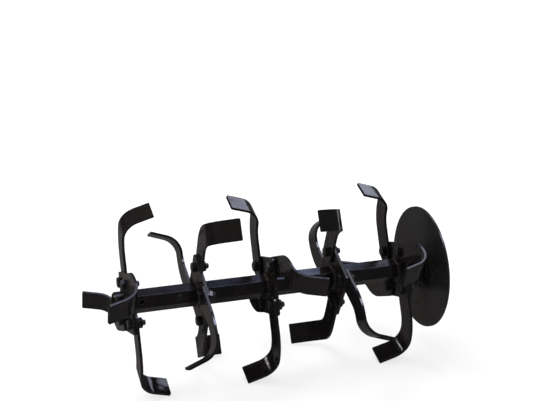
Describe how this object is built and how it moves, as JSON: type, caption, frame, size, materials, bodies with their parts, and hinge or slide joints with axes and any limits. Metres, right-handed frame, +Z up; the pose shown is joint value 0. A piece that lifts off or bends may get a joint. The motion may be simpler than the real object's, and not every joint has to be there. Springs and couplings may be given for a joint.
{
  "type": "rotary tiller tine rotor",
  "caption": "Half of a walk-behind rotary tiller's digging rotor: a hexagonal tube shaft with flanges of curved bolted tines, a round hub and a guard disc.",
  "frame": {"origin": "on the shaft's axis at the mouth of the hub", "axes": "+X along the shaft from the hub to the guard disc, +Z up as the rotor lies on its tine tips, +Y to its left"},
  "size_m": [0.6833, 0.3428, 0.3428],
  "materials": {
    "shaft": "gloss",
    "flanges": "gloss",
    "tines": "gloss",
    "disc": "satin",
    "fasteners": "satin"
  },
  "bodies": {
    "root": {"cross_pin_2": "fasteners", "cross_pin_4": "fasteners", "disc_bolts": "fasteners", "end_flange": "flanges", "flange_1": "flanges", "flange_2": "flanges", "flange_3": "flanges", "flange_4": "flanges", "flange_5": "flanges", "guard_disc": "disc", "hub": "shaft", "shaft_tube": "shaft", "tine_1a": "tines", "tine_1b": "tines", "tine_1c": "tines", "tine_1d": "tines", "tine_2a": "tines", "tine_2b": "tines", "tine_2c": "tines", "tine_2d": "tines", "tine_3a": "tines", "tine_3b": "tines", "tine_3c": "tines", "tine_3d": "tines", "tine_4a": "tines", "tine_4b": "tines", "tine_4c": "tines", "tine_4d": "tines", "tine_5a": "tines", "tine_5b": "tines", "tine_5c": "tines", "tine_5d": "tines", "tine_bolts_1": "fasteners", "tine_bolts_2": "fasteners", "tine_bolts_3": "fasteners", "tine_bolts_4": "fasteners", "tine_bolts_5": "fasteners", "tine_nuts_1": "fasteners", "tine_nuts_2": "fasteners", "tine_nuts_3": "fasteners", "tine_nuts_4": "fasteners", "tine_nuts_5": "fasteners"}
  },
  "joints": []
}
